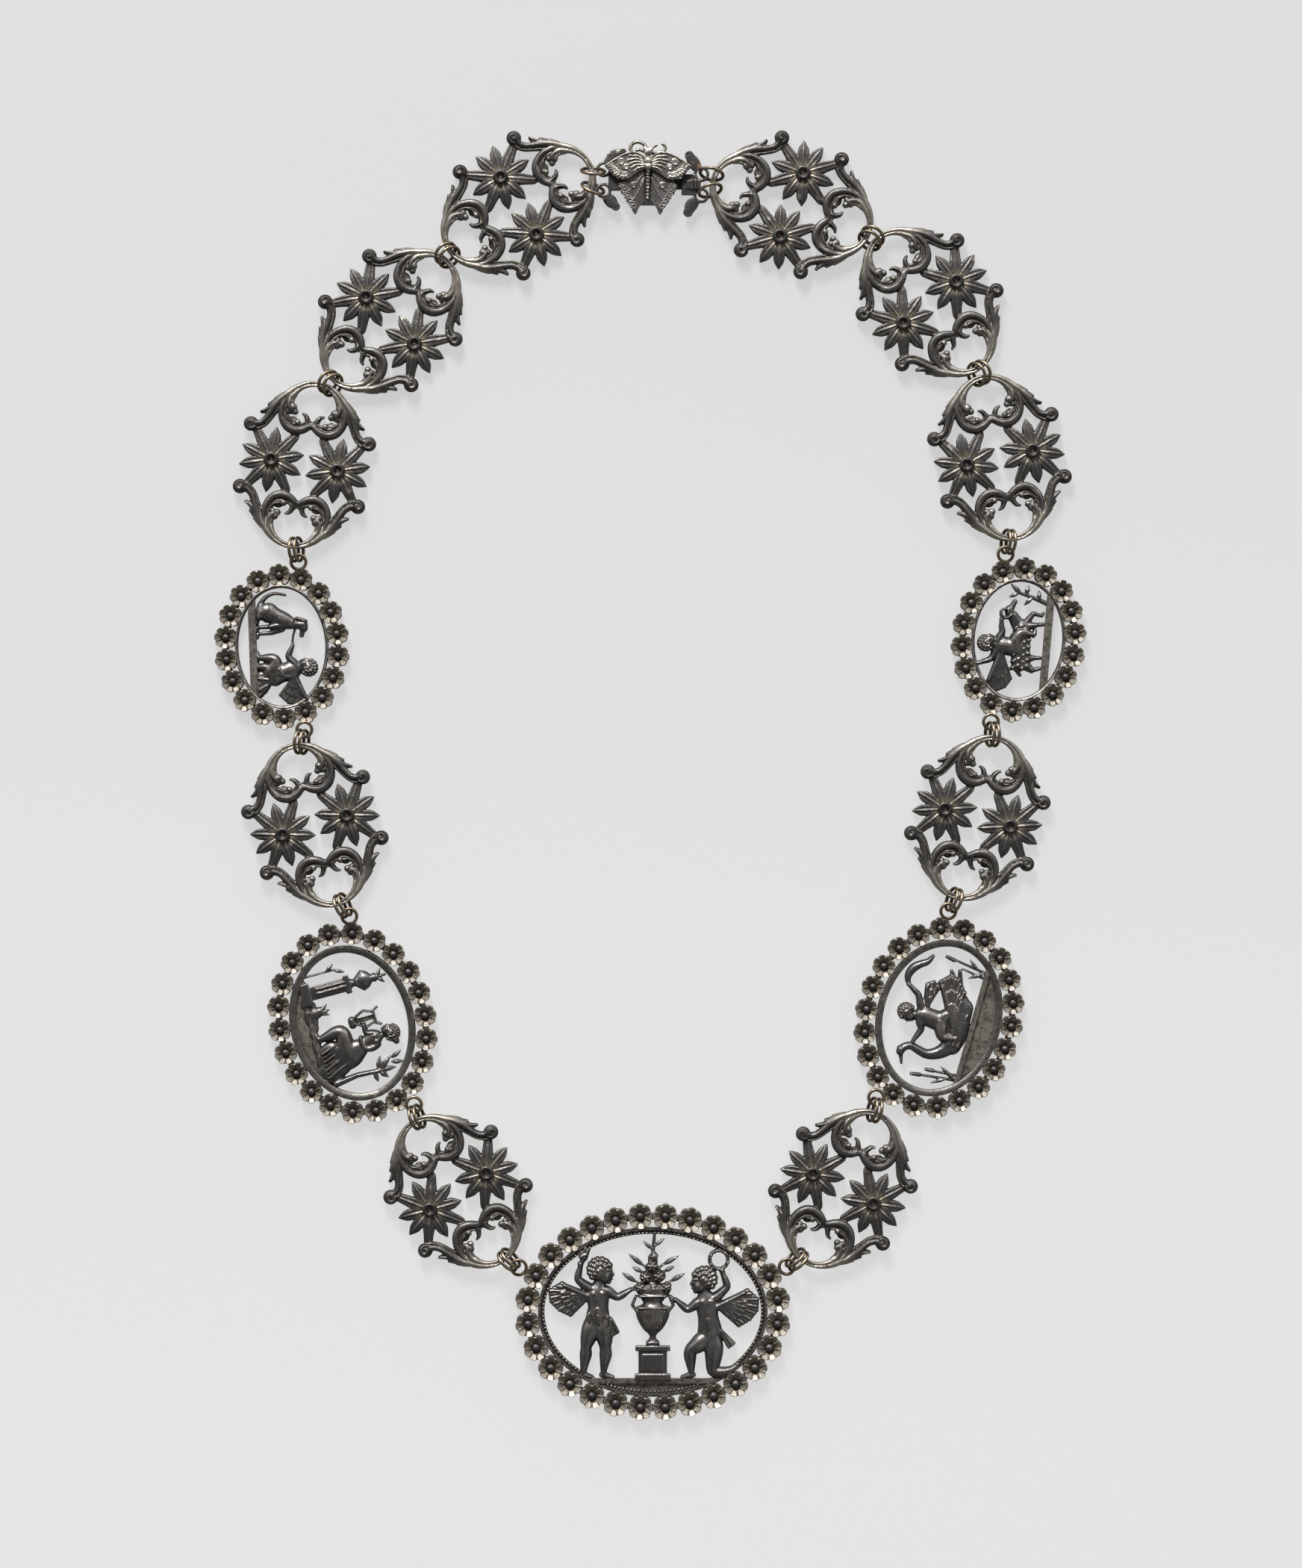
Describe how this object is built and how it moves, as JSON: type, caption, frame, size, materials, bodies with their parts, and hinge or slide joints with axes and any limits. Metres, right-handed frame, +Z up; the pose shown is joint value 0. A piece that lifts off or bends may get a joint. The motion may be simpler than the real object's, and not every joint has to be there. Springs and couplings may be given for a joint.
{
  "type": "carved necklace",
  "caption": "Openwork cast necklace of scroll and flower links and oval relief medallions on paired jump rings, with a butterfly box clasp, lying flat as a closed loop.",
  "frame": {"origin": "middle of the loop's bounding box, on the surface it lies on", "axes": "+Z up from the surface, +Y from the middle medallion to the clasp, +X to the picture's right"},
  "size_m": [0.14, 0.207, 0.0041],
  "materials": {
    "iron": "dark lacquered cast iron, worn lighter on the ridges",
    "ring_wire": "dull grey wire with a brown tinge"
  },
  "bodies": {
    "root": {"medallion_middle": "iron", "medallion_left_low": "iron", "medallion_left_high": "iron", "medallion_right_low": "iron", "medallion_right_high": "iron", "flower_link_left_1": "iron", "flower_link_left_2": "iron", "flower_link_left_3": "iron", "flower_link_left_4": "iron", "flower_link_left_5": "iron", "flower_link_right_1": "iron", "flower_link_right_2": "iron", "flower_link_right_3": "iron", "flower_link_right_4": "iron", "flower_link_right_5": "iron", "clasp_box": "iron", "clasp_tongue": "iron", "ring_pair_left_1": "ring_wire", "ring_pair_left_2": "ring_wire", "ring_pair_left_3": "ring_wire", "ring_pair_left_4": "ring_wire", "ring_pair_left_5": "ring_wire", "ring_pair_left_6": "ring_wire", "ring_pair_left_7": "ring_wire", "ring_pair_left_8": "ring_wire", "ring_pair_right_1": "ring_wire", "ring_pair_right_2": "ring_wire", "ring_pair_right_3": "ring_wire", "ring_pair_right_4": "ring_wire", "ring_pair_right_5": "ring_wire", "ring_pair_right_6": "ring_wire", "ring_pair_right_7": "ring_wire", "ring_pair_right_8": "ring_wire"}
  },
  "joints": []
}
